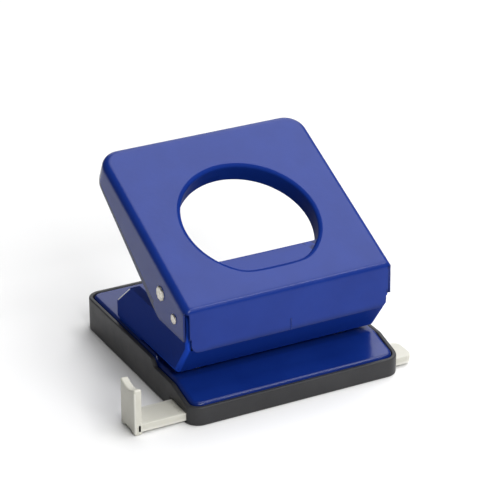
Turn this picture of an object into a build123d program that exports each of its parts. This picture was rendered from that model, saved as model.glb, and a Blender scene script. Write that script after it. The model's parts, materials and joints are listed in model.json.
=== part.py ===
"""Desk paper punch for two holes: pressed steel base and handle on a plastic chip tray.

Millimetres, +Z up, +Y towards the back, origin at the centre of the tray's underside.
The handle is drawn raised, which is where its return springs leave it.
"""
import math
import os

from build123d import *

os.makedirs("parts", exist_ok=True)

# ---- Chip tray --------------------------------------------------------------
tray_width = 118.0
tray_depth = 123.6
tray_corner = 7.6
tray_wall = 2.2
tray_floor = 1.2
rim_rear = 18.1          # rim height behind the step
rim_middle = 14.4        # rim height beside the paper slot
rim_front = 10.1         # rim height along the front wall
rim_step = 43.5          # step in the rim, from the front edge
rim_step_run = 3.0
rim_ramp_top = 21.0      # where the rim starts to fall towards the front
rim_ramp_foot = 5.0
pad_size = 7.0           # moulded pads in the corners that carry the base plate

# ---- Base plate -------------------------------------------------------------
plate_sheet = 1.2
plate_gap = 0.3          # clearance inside the tray's walls
plate_skirt = 6.0        # height of the skirt's lower edge, which stands on the pads
plate_bend = 2.2         # radius where the deck rolls over into the skirt
deck_rear = 18.6         # height of the deck that carries the bracket
deck_front = 15.8        # height of the deck under the paper slot
deck_break = 13.3        # height where the ramp changes slope
deck_nose = 10.9
deck_break_run = 13.5    # distances from the tray's front edge
deck_level = 22.0
deck_jog_run = 1.4

# ---- Punching ---------------------------------------------------------------
hole_spacing = 80.0
pin_radius = 2.75
pin_clearance = 0.05
margin_depth = 12.0      # paper edge to hole centre
paper_stop = 44.2        # from the tray's front edge
tip_recess = 0.7         # pin tip above the slot's ceiling at rest
pin_head_radius = 6.0
pin_head_height = 3.0
head_chamfer = 0.5
die_radius = 5.0
die_flange_radius = 6.5
die_flange_height = 2.2
bush_radius = 4.2
bush_flange_radius = 5.6
bush_flange_height = 0.9
clip_radius = 4.8
clip_groove_radius = 2.2
clip_height = 1.0
clip_gap = 0.2           # between the clip and the bush above it
clip_mouth = 3.0
spring_wire = 1.1
spring_radius = 3.9
spring_turns = 6.5

# ---- Bracket ----------------------------------------------------------------
bracket_sheet = 1.6
bracket_inset = 0.7      # bracket's side in from the base plate's side
bracket_bend = 2.4
bracket_rear = 89.2      # from the tray's front edge
bracket_rear_top = 28.9
bracket_apex = 72.8
bracket_top = 43.0
bracket_front = 9.75
bracket_nose = 22.6      # where the slanted front would meet the floor line
nose_bend = 3.0
lip_top = 36.4
lip_side = 2.0           # strip left beside the opening above the lip
floor_rear = 50.0        # rear edge of the bracket's floor
top_flange = 5.1
ear_rear = 44.0
ear_crown = 40.0
ear_cut = 4.0            # size of the cut across the ear's rear corner
ear_root = 2.0           # how far the ears start below the side plates' top edge
flange_lap = 5.0         # length of side plate ahead of the apex that the rear opening reaches
ear_chamfer = 0.6
foot_width = 10.0
foot_front = 62.0
foot_rear = 87.0

# ---- Bridge that carries the pins' upper bushes -------------------------------
bridge_height = 33.6
bridge_half = 48.0
bridge_front = 24.6
bridge_rear = 41.0

# ---- Handle -----------------------------------------------------------------
raise_angle = 25.0
hinge_from_front = 20.45
hinge_z = 49.8
handle_sheet = 1.0
side_gap = 0.6           # between the handle's flanges and the bracket's ears
top_height = 13.25       # skin of the top above the hinge axis, square to the top
handle_reach = 100.8     # hinge axis to the rear edge, along the top
handle_corner = 11.0
handle_bend = 4.0
flap_from_front = 8.4
flap_bottom = 35.6
flap_corner = 4.0
flap_shoulder = 43.0
flap_side = 3.1          # flap's lower edge in from the handle's side
slit_side = 1.6
slit_depth = 1.8         # front skin of the flap to the flange's front edge
slit_top = 57.5
flange_low = 41.9
flange_front_run = 9.0   # along the top from the hinge
lobe_low = -13.9         # square to the top, from the hinge axis
lobe_start = 11.5
lobe_end = 18.0
flange_tail = 88.0
flange_tail_low = -1.8
lobe_lead = 1.4          # lobe's front corner above its lowest point
lobe_trail = 0.2         # and its rear corner
rear_lip = 6.5           # depth of the turned-down lip along the rear edge
tail_radius = 22.0       # curve that joins the flange's lower edge to the rear lip
mark_width = 0.8
mark_height = 6.6
mark_proud = 0.3

hand_radius = 34.8       # wall of the hand hole
hand_centre = 39.7       # along the top from the hinge
hand_depth = 10.0
shelf_front = 8.2        # along the top from the hinge
shelf_rear = 18.9
shelf_drop = 1.6
shelf_lip = 6.0
rim_bend = 0.9           # radius where the top turns down into the rim

# ---- Axles ------------------------------------------------------------------
hinge_radius = 2.0
hinge_head_radius = 2.7
hinge_head = 0.9
drive_radius = 2.0
drive_head_radius = 3.95
drive_head = 1.2
drive_arm = 16.06        # hinge axis to drive axle
drive_angle = 27.4       # above the horizontal, with the handle raised
slot_gap = 0.3
slot_wall = 1.2          # metal left above the drive axle's slot
drive_gap = 0.3          # between the drive axle and the pins' heads
running_gap = 0.05
washer_radius = 4.4

# ---- Rivets -----------------------------------------------------------------
rivet_radius = 1.6
rivet_head_radius = 2.9
rivet_head = 1.1
foot_rivets = (68.0, 81.0)       # from the tray's front edge
bridge_rivets = (27.2, 38.4)

# ---- Paper guide --------------------------------------------------------------
guide_front = 6.0        # from the tray's front edge
guide_width = 16.0
guide_low = 1.5
guide_height = 4.3
guide_left = -81.0       # inner face of the upright
guide_right = 69.0
guide_corner = 3.5
upright_thickness = 4.9
upright_height = 24.6
upright_scoop = 1.8
scoop_margin = 1.5       # flat left at each upper corner of the upright
guide_gap = 0.4
foot_nub = 3.4
notch_depth = 0.8
notch_half = 1.0
notch_places = (-43.5, -31.0, 0.0, 24.0)

# ---- Detent spring that bears on the guide --------------------------------------
leaf_thickness = 0.4
leaf_height = 3.6
leaf_half = 15.0
leaf_foot = 5.0
leaf_bow = 2.0
leaf_gap = 0.3

# ---- Working values ----------------------------------------------------------
past = 1.0               # how far a cutter runs past the metal that it cuts
far = 200.0              # size of a cutter that reaches beyond the whole object
cos_raise = math.cos(math.radians(raise_angle))
sin_raise = math.sin(math.radians(raise_angle))
tray_half = tray_width / 2
tray_front = -tray_depth / 2
plate_half = tray_half - tray_wall - plate_gap
bracket_half = plate_half - bracket_inset
handle_half = bracket_half + side_gap + handle_sheet
slot_ceiling = deck_rear
pin_tip = slot_ceiling + tip_recess
bush_top = bridge_height + bush_flange_height
hinge_y = tray_front + hinge_from_front
drive_y = hinge_y + drive_arm * math.cos(math.radians(drive_angle))
drive_z = hinge_z + drive_arm * math.sin(math.radians(drive_angle))
pin_y = tray_front + paper_stop - margin_depth
pin_top = drive_z - drive_radius - drive_gap
ear_top = drive_z + drive_radius + slot_gap + slot_wall
pin_places = {"left": -hole_spacing / 2, "right": hole_spacing / 2}
flap_y = tray_front + flap_from_front
guide_y = tray_front + guide_front + guide_width / 2

# Planes of the raised handle: across and up its top, and up its top and out of it.
hinge_point = (0, hinge_y, hinge_z)
handle_plan = Plane(origin=hinge_point, x_dir=(1, 0, 0), z_dir=(0, -sin_raise, cos_raise))
handle_side = Plane(origin=hinge_point, x_dir=(0, cos_raise, sin_raise), z_dir=(1, 0, 0))


def back(distance):
    """Y of a point that lies a distance behind the tray's front edge."""
    return tray_front + distance


def finish(builder, name):
    """Label a finished sub-part and write its STEP file."""
    builder.part.label = name
    export_step(builder.part, f"parts/{name}.step")


def revolved(points, x, y):
    """Solid turned about the vertical line through x, y from a closed (radius, height) outline."""
    with BuildPart() as turned:
        with BuildSketch(Plane(origin=(x, y, 0), x_dir=(1, 0, 0), z_dir=(0, -1, 0))):
            with BuildLine():
                Polyline(*points, close=True)
            make_face()
        revolve(axis=Axis((x, y, 0), (0, 0, 1)))
    return turned


# ---- chip_tray ------------------------------------------------------------------
window_low = guide_low - guide_gap
window_high = guide_low + guide_height + guide_gap
pad_x = plate_half - plate_sheet - pad_size / 2
pad_rear_y = tray_depth / 2 - tray_wall - pad_size / 2
pad_front_y = back(guide_front + guide_width + pad_size)

with BuildPart() as chip_tray:
    with BuildSketch():
        RectangleRounded(tray_width, tray_depth, tray_corner)
    extrude(amount=rim_rear)
    with BuildSketch(Plane.YZ):
        with BuildLine():
            Polyline(
                (back(-past), rim_front), (back(rim_ramp_foot), rim_front),
                (back(rim_ramp_top), rim_middle), (back(rim_step - rim_step_run), rim_middle),
                (back(rim_step), rim_rear), (back(rim_step), rim_rear + past),
                (back(-past), rim_rear + past), close=True)
        make_face()
    extrude(amount=tray_width, both=True, mode=Mode.SUBTRACT)
    with BuildSketch(Plane.XY.offset(tray_floor)):
        RectangleRounded(tray_width - 2 * tray_wall, tray_depth - 2 * tray_wall,
                         tray_corner - tray_wall)
    extrude(amount=rim_rear, mode=Mode.SUBTRACT)
    with Locations((0, guide_y, (window_low + window_high) / 2)):
        Box(tray_width + 2 * past, guide_width + 2 * guide_gap, window_high - window_low, mode=Mode.SUBTRACT)
    with BuildSketch(Plane.XY.offset(tray_floor)):
        with Locations(*[(side * pad_x, y) for side in (-1, 1) for y in (pad_front_y, pad_rear_y)]):
            Rectangle(pad_size + 2 * plate_sheet, pad_size)
    extrude(amount=plate_skirt - tray_floor)
finish(chip_tray, "chip_tray")

# ---- base_plate -----------------------------------------------------------------
deck_outline = [
    (tray_wall + plate_gap, deck_nose), (deck_break_run, deck_break), (deck_level, deck_front),
    (paper_stop, deck_front), (paper_stop + deck_jog_run, deck_rear),
    (tray_depth - tray_wall - plate_gap, deck_rear)]


def plate_block(inset):
    """Block under the deck's skin, drawn in from every side by the inset."""
    edge = tray_wall + plate_gap + inset
    with BuildPart() as block:
        with BuildSketch(Plane.XY.offset(plate_skirt)):
            RectangleRounded(tray_width - 2 * edge, tray_depth - 2 * edge, tray_corner - edge)
        extrude(amount=deck_rear)
        with BuildSketch(Plane.YZ):
            with BuildLine():
                Polyline(*[(back(run), height - inset) for run, height in deck_outline],
                         (back(tray_depth), deck_rear - inset), (back(tray_depth), far),
                         (back(0), far), (back(0), deck_nose - inset), close=True)
            make_face()
        extrude(amount=tray_width, both=True, mode=Mode.SUBTRACT)
        rolled = [rim for rim in block.edges()
                  if rim.center().Z > deck_nose - inset - 0.1 and abs((rim % 0.5).Z) < 0.9
                  and not (abs(rim.center().X) < 1 and abs(rim.center().Y) < tray_depth / 2 - edge - 0.1)]
        fillet(rolled, radius=plate_bend - inset)
    return block


plate_skin = plate_block(0)
plate_hollow = plate_block(plate_sheet)
rivet_points = [(side * (bracket_half - bracket_sheet - foot_width / 2), back(run))
                for side in (-1, 1) for run in foot_rivets]

with BuildPart() as base_plate:
    add(plate_skin)
    add(plate_hollow, mode=Mode.SUBTRACT)
    with BuildSketch(Plane.XY.offset(deck_front)):
        with Locations(*[(x, pin_y) for x in pin_places.values()]):
            Circle(die_radius)
    extrude(amount=-plate_sheet, mode=Mode.SUBTRACT)
    with BuildSketch(Plane.XY.offset(deck_rear)):
        with Locations(*rivet_points):
            Circle(rivet_radius)
    extrude(amount=-plate_sheet, mode=Mode.SUBTRACT)
finish(base_plate, "base_plate")

# ---- punch_bracket --------------------------------------------------------------
# A channel: floor, slanted nose with a lip, side plates with ears that carry the axles.
slant_run = bracket_nose - bracket_front
slant_rise = lip_top - slot_ceiling
slant_length = math.hypot(slant_run, slant_rise)
inner_half = bracket_half - bracket_sheet
inner_floor = slot_ceiling + bracket_sheet
inner_nose = bracket_nose + bracket_sheet * (slant_length - slant_run) / slant_rise
inner_front = inner_nose - slant_run * (lip_top - inner_floor) / slant_rise
ear_radius = hinge_y - back(bracket_front)
drive_path = [(hinge_y + drive_arm * math.cos(math.radians(turn)),
               hinge_z + drive_arm * math.sin(math.radians(turn)))
              for turn in (drive_angle, drive_angle - raise_angle / 2, drive_angle - raise_angle)]
bridge_rivet_points = [(side * (bridge_half + inner_half) / 2, back(run))
                       for side in (-1, 1) for run in bridge_rivets]


def bracket_block(half, floor, nose, front, top, bend, nose_round):
    """Solid channel block with its front corners and its nose rounded."""
    with BuildPart() as block:
        with BuildSketch(Plane.YZ):
            with BuildLine():
                Polyline(
                    (back(bracket_rear), floor), (back(nose), floor), (back(front), lip_top),
                    (back(front), top), (back(bracket_apex), top),
                    (back(bracket_rear), bracket_rear_top), close=True)
            make_face()
        extrude(amount=half, both=True)
        foot = block.edges().filter_by(Axis.X).filter_by_position(Axis.Z, floor - 0.1, floor + 0.1)
        fillet(foot.sort_by(Axis.Y)[0], radius=nose_round)
        if bend:
            corners = [edge for edge in block.edges()
                       if edge.center().Y < back(nose) and floor < edge.center().Z < top - 1
                       and abs(edge.center().X) > half - 1]
            fillet(corners, radius=bend)
    return block


bracket_skin = bracket_block(bracket_half, slot_ceiling, bracket_nose, bracket_front,
                             bracket_top, bracket_bend, nose_bend)
bracket_hollow = bracket_block(inner_half, inner_floor, inner_nose, inner_front,
                               ear_top, 0, nose_bend - bracket_sheet)

with BuildPart() as punch_bracket:
    add(bracket_skin)
    add(bracket_hollow, mode=Mode.SUBTRACT)
    # Open above the lip, open at the back, and no floor behind the paper slot.
    with Locations((0, back(bracket_front), lip_top)):
        Box(2 * (bracket_half - lip_side), 4 * bracket_sheet, ear_top,
            align=(Align.CENTER, Align.CENTER, Align.MIN), mode=Mode.SUBTRACT)
    with Locations((0, back(bracket_apex - flange_lap), bracket_rear_top)):
        Box(2 * inner_half, bracket_rear, 2 * bracket_rear_top, align=(Align.CENTER, Align.MIN, Align.MIN),
            mode=Mode.SUBTRACT)
    with Locations((0, back(floor_rear), slot_ceiling)):
        Box(2 * inner_half, bracket_rear, bracket_top, align=(Align.CENTER, Align.MIN, Align.MIN),
            mode=Mode.SUBTRACT)
    for side in (-1, 1):
        with BuildSketch(Plane.YZ.offset(side * bracket_half)):
            with BuildLine():
                Polyline(
                    (hinge_y - ear_radius, bracket_top - ear_root), (hinge_y - ear_radius, hinge_z),
                    (hinge_y, hinge_z + ear_radius), (drive_y - drive_radius, ear_top),
                    (back(ear_crown - ear_cut), ear_top), (back(ear_crown), ear_top - ear_cut),
                    (back(ear_rear), bracket_top - ear_root), close=True)
            make_face()
            with Locations((hinge_y, hinge_z)):
                Circle(ear_radius)
        extrude(amount=-side * bracket_sheet)
        rim = [edge for edge in punch_bracket.edges()
               if edge.center().Z > hinge_z and abs(edge.center().X - side * bracket_half) < 0.01]
        chamfer(rim, length=ear_chamfer)
        # Inward flange along the level top, and the riveted foot at the back.
        flange_x = side * (bracket_half - top_flange / 2)
        with Locations((flange_x, back((ear_rear + bracket_apex) / 2), bracket_top - bracket_sheet / 2)):
            Box(top_flange, bracket_apex - ear_rear, bracket_sheet)
        foot_x = side * (bracket_half - (foot_width + bracket_sheet) / 2)
        with Locations((foot_x, back((foot_front + foot_rear) / 2), slot_ceiling)):
            Box(foot_width + bracket_sheet, foot_rear - foot_front, bracket_sheet,
                align=(Align.CENTER, Align.CENTER, Align.MIN))
    with BuildSketch(Plane.YZ):
        with Locations(*drive_path):
            Circle(drive_radius + slot_gap)
        make_hull()
        with Locations((hinge_y, hinge_z)):
            Circle(hinge_radius + running_gap)
    extrude(amount=bracket_half + past, both=True, mode=Mode.SUBTRACT)
    with BuildSketch(Plane.XY.offset(slot_ceiling)):
        with Locations(*[(x, pin_y) for x in pin_places.values()]):
            Circle(bush_radius)
        with Locations(*rivet_points, *bridge_rivet_points):
            Circle(rivet_radius)
    extrude(amount=bracket_sheet, mode=Mode.SUBTRACT)
finish(punch_bracket, "punch_bracket")

# ---- pin_bridge -----------------------------------------------------------------
with BuildPart() as pin_bridge:
    with BuildSketch(Plane.XZ.offset(-back(bridge_front))):
        with BuildLine():
            Polyline(
                (-inner_half, inner_floor), (-inner_half, inner_floor + bracket_sheet),
                (-bridge_half, inner_floor + bracket_sheet), (-bridge_half, bridge_height),
                (bridge_half, bridge_height), (bridge_half, inner_floor + bracket_sheet),
                (inner_half, inner_floor + bracket_sheet), (inner_half, inner_floor),
                (bridge_half - bracket_sheet, inner_floor),
                (bridge_half - bracket_sheet, bridge_height - bracket_sheet),
                (-bridge_half + bracket_sheet, bridge_height - bracket_sheet),
                (-bridge_half + bracket_sheet, inner_floor), close=True)
        make_face()
    extrude(amount=-(bridge_rear - bridge_front))
    with BuildSketch(Plane.XY.offset(inner_floor)):
        with Locations(*bridge_rivet_points):
            Circle(rivet_radius)
        with Locations(*[(x, pin_y) for x in pin_places.values()]):
            Circle(bush_radius)
    extrude(amount=bridge_height, mode=Mode.SUBTRACT)
finish(pin_bridge, "pin_bridge")


# ---- rivets -----------------------------------------------------------------------
def rivet_group(points, low, high):
    """Domed rivets through sheets that lie between two heights."""
    with BuildPart() as group:
        with Locations(*[(x, y, low) for x, y in points]):
            Cylinder(rivet_radius, high - low, align=(Align.CENTER, Align.CENTER, Align.MIN))
        for level, out in ((low, -1), (high, 1)):
            with Locations(*[(x, y, level) for x, y in points]):
                Cylinder(rivet_head_radius, rivet_head,
                         align=(Align.CENTER, Align.CENTER, Align.MAX if out < 0 else Align.MIN))
            rims = group.edges().filter_by(GeomType.CIRCLE).filter_by_position(
                Axis.Z, level + out * rivet_head - 0.01, level + out * rivet_head + 0.01)
            fillet(rims, radius=0.8 * rivet_head)
    return group


finish(rivet_group(rivet_points, deck_rear - plate_sheet, inner_floor), "bracket_rivets")
finish(rivet_group(bridge_rivet_points, slot_ceiling, inner_floor + bracket_sheet), "bridge_rivets")

# ---- punching sets: die, bushes, pin, clip and return spring on each side -------------
bore = pin_radius + pin_clearance
clip_top = bridge_height - bracket_sheet - clip_gap
head_foot = pin_top - pin_head_height

for side, pin_x in pin_places.items():
    die = revolved([
        (bore, deck_front), (die_radius, deck_front), (die_radius, deck_front - plate_sheet),
        (die_flange_radius, deck_front - plate_sheet),
        (die_flange_radius, deck_front - plate_sheet - die_flange_height),
        (bore, deck_front - plate_sheet - die_flange_height)], pin_x, pin_y)
    finish(die, f"die_{side}")

    lower_bush = revolved([
        (bore, slot_ceiling), (bush_radius, slot_ceiling), (bush_radius, inner_floor),
        (bush_flange_radius, inner_floor), (bush_flange_radius, inner_floor + bush_flange_height),
        (bore, inner_floor + bush_flange_height)], pin_x, pin_y)
    finish(lower_bush, f"lower_bush_{side}")

    upper_bush = revolved([
        (bore, bridge_height - bracket_sheet), (bush_radius, bridge_height - bracket_sheet),
        (bush_radius, bridge_height), (bush_flange_radius, bridge_height),
        (bush_flange_radius, bush_top), (bore, bush_top)], pin_x, pin_y)
    finish(upper_bush, f"upper_bush_{side}")

    punch_pin = revolved([
        (0, pin_tip), (pin_radius, pin_tip), (pin_radius, clip_top - clip_height),
        (clip_groove_radius, clip_top - clip_height), (clip_groove_radius, clip_top),
        (pin_radius, clip_top), (pin_radius, head_foot), (pin_head_radius, head_foot),
        (pin_head_radius, pin_top - head_chamfer), (pin_head_radius - head_chamfer, pin_top),
        (0, pin_top)], pin_x, pin_y)
    finish(punch_pin, f"punch_pin_{side}")

    with BuildPart() as pin_clip:
        with BuildSketch(Plane(origin=(pin_x, pin_y, clip_top - clip_height))):
            Circle(clip_radius)
            Circle(clip_groove_radius, mode=Mode.SUBTRACT)
            with Locations((0, clip_radius / 2)):
                Rectangle(clip_mouth, clip_radius, align=(Align.CENTER, Align.MIN), mode=Mode.SUBTRACT)
        extrude(amount=clip_height)
    finish(pin_clip, f"pin_clip_{side}")

    spring_low = bush_top + spring_wire / 2
    spring_length = head_foot - bush_top - spring_wire
    with BuildPart() as return_spring:
        with BuildLine():
            coil = Helix(pitch=spring_length / spring_turns, height=spring_length, radius=spring_radius,
                         center=(pin_x, pin_y, spring_low))
        with BuildSketch(Plane(origin=coil @ 0, z_dir=coil % 0)):
            Circle(spring_wire / 2)
        sweep(path=coil, is_frenet=True)
    finish(return_spring, f"return_spring_{side}")

# ---- axles ------------------------------------------------------------------------
for name, y, z, radius, head_radius, head in (
        ("hinge_axle", hinge_y, hinge_z, hinge_radius, hinge_head_radius, hinge_head),
        ("drive_axle", drive_y, drive_z, drive_radius, drive_head_radius, drive_head)):
    with BuildPart() as axle:
        with BuildSketch(Plane.YZ):
            with Locations((y, z)):
                Circle(radius)
        extrude(amount=handle_half, both=True)
        for side in (-1, 1):
            with BuildSketch(Plane.YZ.offset(side * handle_half)):
                with Locations((y, z)):
                    Circle(head_radius)
            extrude(amount=side * head)
        fillet(axle.faces().filter_by(Axis.X).group_by(Axis.X)[0].edges(), radius=0.6 * head)
        fillet(axle.faces().filter_by(Axis.X).group_by(Axis.X)[-1].edges(), radius=0.6 * head)
    finish(axle, name)

with BuildPart() as hinge_washers:
    for side in (-1, 1):
        with BuildSketch(Plane.YZ.offset(side * (bracket_half + running_gap))):
            with Locations((hinge_y, hinge_z)):
                Circle(washer_radius)
                Circle(hinge_radius, mode=Mode.SUBTRACT)
        extrude(amount=side * (side_gap - running_gap))
finish(hinge_washers, "hinge_washers")

# ---- handle -------------------------------------------------------------------------
pan_low = -20.0
reach_ahead = -30.0


def handle_block(inset):
    """Block under the handle's skin, drawn in from every side by the inset."""
    half = handle_half - inset
    with BuildPart() as block:
        with BuildSketch(handle_plan.offset(pan_low)) as outline:
            with Locations((0, reach_ahead)):
                Rectangle(2 * half, handle_reach - inset - reach_ahead, align=(Align.CENTER, Align.MIN))
            fillet(outline.vertices().group_by(Axis.Y)[-1], radius=handle_corner - inset)
        extrude(amount=top_height - inset - pan_low)
        split(bisect_by=Plane(origin=(0, flap_y + inset, 0), z_dir=(0, 1, 0)), keep=Keep.TOP)
        top = block.faces().sort_by(Axis(hinge_point, handle_plan.z_dir))[-1]
        fillet(top.edges(), radius=handle_bend - inset)
    return block


lip_width = 2 * math.sqrt(hand_radius ** 2 - (hand_centre - shelf_rear) ** 2)
handle_skin = handle_block(0)
handle_hollow = handle_block(handle_sheet)

with BuildPart() as hand_rim:
    with BuildSketch(handle_plan.offset(top_height - hand_depth)):
        with Locations((0, hand_centre)):
            Circle(hand_radius + handle_sheet)
        with Locations((0, shelf_front - handle_sheet)):
            Rectangle(far, far, align=(Align.CENTER, Align.MIN), mode=Mode.INTERSECT)
    extrude(amount=hand_depth)
    # The opening, the recess over the shelf and the space under the shelf.
    with BuildSketch(handle_plan.offset(top_height - hand_depth)):
        with Locations((0, hand_centre)):
            Circle(hand_radius)
        with Locations((0, shelf_rear)):
            Rectangle(far, far, align=(Align.CENTER, Align.MIN), mode=Mode.INTERSECT)
    extrude(amount=hand_depth, mode=Mode.SUBTRACT)
    with BuildSketch(handle_plan.offset(top_height - shelf_drop)):
        with Locations((0, hand_centre)):
            Circle(hand_radius)
        with Locations((0, shelf_front)):
            Rectangle(far, shelf_rear - shelf_front, align=(Align.CENTER, Align.MIN),
                      mode=Mode.INTERSECT)
    extrude(amount=shelf_drop, mode=Mode.SUBTRACT)
    with Locations(handle_plan.offset(top_height - shelf_drop - handle_sheet)):
        with Locations((0, shelf_rear - handle_sheet)):
            Box(far, hand_radius, hand_depth, align=(Align.CENTER, Align.MAX, Align.MAX), mode=Mode.SUBTRACT)
        with Locations((0, shelf_rear - 2 * handle_sheet, -shelf_lip)):
            Box(lip_width, hand_radius / 2, hand_depth, align=(Align.CENTER, Align.MIN, Align.MAX),
                mode=Mode.SUBTRACT)

with BuildPart() as handle:
    add(handle_skin)
    add(handle_hollow, mode=Mode.SUBTRACT)
    # Lower edge of the flanges and of the lip that runs round the back.
    front_y = flap_y + slit_depth
    front_corner = handle_side.to_local_coords(Vector(0, front_y, flange_low))
    below = handle_side.to_local_coords(Vector(0, front_y, -hinge_z))
    with BuildSketch(handle_side):
        with BuildLine():
            Polyline(
                (front_corner.X, front_corner.Y), (flange_front_run, lobe_low + lobe_lead),
                (lobe_start, lobe_low), (lobe_end, lobe_low + lobe_trail), (flange_tail, flange_tail_low))
            RadiusArc((flange_tail, flange_tail_low), (handle_reach, top_height - rear_lip), tail_radius)
            Polyline(
                (handle_reach, top_height - rear_lip), (handle_reach + past, top_height - rear_lip),
                (handle_reach + past, below.Y), (below.X, below.Y), (front_corner.X, front_corner.Y))
        make_face()
    extrude(amount=handle_half + past, both=True, mode=Mode.SUBTRACT)
    # The front flap: a slit beside it, a shoulder, and rounded lower corners.
    with BuildSketch(Plane.XZ.offset(-front_y)):
        with Locations((0, flap_shoulder)):
            Rectangle(far, 2 * flap_shoulder, align=(Align.CENTER, Align.MAX))
        with Locations((0, (flap_bottom + flap_shoulder + 2 * flap_corner) / 2)):
            RectangleRounded(2 * (handle_half - flap_side), flap_shoulder + 2 * flap_corner - flap_bottom,
                             flap_corner, mode=Mode.SUBTRACT)
        for side in (-1, 1):
            with Locations((side * (handle_half - slit_side), slit_top)):
                Rectangle(slit_side + past, slit_top - flap_shoulder + past,
                          align=(Align.MIN if side > 0 else Align.MAX, Align.MAX))
    extrude(amount=slit_depth + past, mode=Mode.SUBTRACT)
    # The hand hole with its turned-down rim.
    with BuildSketch(handle_plan.offset(top_height - 2 * handle_sheet)):
        with Locations((0, hand_centre)):
            Circle(hand_radius)
        with Locations((0, shelf_front)):
            Rectangle(far, far, align=(Align.CENTER, Align.MIN), mode=Mode.INTERSECT)
    extrude(amount=3 * handle_sheet, mode=Mode.SUBTRACT)
    add(hand_rim)
    # Roll the top over into the rim, and the shelf over into its lip.
    turned_down = []
    for rim in handle.edges():
        ends = [handle_plan.to_local_coords(rim @ place) for place in (0.0, 0.5, 1.0)]
        within = all(math.hypot(end.X, end.Y - hand_centre) < hand_radius + 0.01 for end in ends)
        on_top = all(abs(end.Z - top_height) < 0.01 for end in ends)
        on_lip = all(abs(end.Z - top_height + shelf_drop) < 0.01 and abs(end.Y - shelf_rear) < 0.01
                     for end in ends)
        if within and (on_top or on_lip):
            turned_down.append(rim)
    fillet(turned_down, radius=rim_bend)
    # Holes for the axles.
    with BuildSketch(Plane.YZ):
        with Locations((hinge_y, hinge_z)):
            Circle(hinge_radius)
        with Locations((drive_y, drive_z)):
            Circle(drive_radius)
    extrude(amount=handle_half + past, both=True, mode=Mode.SUBTRACT)
    with Locations((0, flap_y, flap_bottom)):
        Box(mark_width, 2 * mark_proud, mark_height, align=(Align.CENTER, Align.CENTER, Align.MIN))
finish(handle, "handle")

# ---- paper_guide ----------------------------------------------------------------------
upright_left = guide_left - upright_thickness
guide_back = guide_y + guide_width / 2

with BuildPart() as paper_guide:
    with BuildSketch(Plane.XY.offset(guide_low)) as bar:
        with Locations(((upright_left + guide_right) / 2, guide_y)):
            Rectangle(guide_right - upright_left, guide_width)
        fillet(bar.vertices().group_by(Axis.X)[-1], radius=guide_corner)
        with Locations(*[(x, guide_back) for x in notch_places]):
            Polygon((-notch_half, 0), (notch_half, 0), (0, -notch_depth), align=None, mode=Mode.SUBTRACT)
    extrude(amount=guide_height)
    with Locations(((guide_left + upright_left) / 2, guide_y, guide_low)):
        Box(upright_thickness, guide_width, upright_height - guide_low,
            align=(Align.CENTER, Align.CENTER, Align.MIN))
    with Locations(*[((guide_left + upright_left) / 2, guide_y + end * (guide_width - foot_nub) / 2, 0)
                     for end in (-1, 1)]):
        Box(upright_thickness, foot_nub, guide_low, align=(Align.CENTER, Align.CENTER, Align.MIN))
    # A shallow scoop between the two upper corners of the upright.
    scoop_half = guide_width / 2 - scoop_margin
    scoop_radius = (scoop_half ** 2 + upright_scoop ** 2) / (2 * upright_scoop)
    with BuildSketch(Plane.YZ.offset(upright_left - past)):
        with Locations((guide_y, upright_height + scoop_radius - upright_scoop)):
            Circle(scoop_radius)
    extrude(amount=upright_thickness + 2 * past, mode=Mode.SUBTRACT)
finish(paper_guide, "paper_guide")

# ---- detent_spring ----------------------------------------------------------------------
leaf_y = guide_back + leaf_gap
leaf_base = leaf_y + leaf_bow

with BuildPart() as detent_spring:
    with BuildSketch(Plane.XY.offset(tray_floor)):
        with BuildLine():
            Polyline(
                (-leaf_half, leaf_base), (-leaf_bow, leaf_base), (0, leaf_y), (leaf_bow, leaf_base),
                (leaf_half, leaf_base), (leaf_half, leaf_base + leaf_thickness),
                (leaf_bow, leaf_base + leaf_thickness), (0, leaf_y + leaf_thickness),
                (-leaf_bow, leaf_base + leaf_thickness), (-leaf_half, leaf_base + leaf_thickness), close=True)
        make_face()
    extrude(amount=leaf_height)
    for side in (-1, 1):
        with Locations((side * (leaf_half - leaf_foot / 2), leaf_base, tray_floor)):
            Box(leaf_foot, leaf_foot, leaf_thickness, align=(Align.CENTER, Align.MIN, Align.MIN))
finish(detent_spring, "detent_spring")

with BuildPart() as detent_screws:
    with Locations(*[(side * (leaf_half - leaf_foot / 2), leaf_base + leaf_foot / 2 + leaf_thickness / 2,
                      tray_floor + leaf_thickness) for side in (-1, 1)]):
        Cylinder(1.5, 1.0, align=(Align.CENTER, Align.CENTER, Align.MIN))
finish(detent_screws, "detent_screws")
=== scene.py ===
"""Desk paper punch for two holes: pressed blue steel on a black plastic chip tray.

Sizes are in millimetres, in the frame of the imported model, and become metres where a mesh is made.
"""
import json
import math

import bmesh
import bpy
import numpy as np
from mathutils import Matrix, Vector


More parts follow.
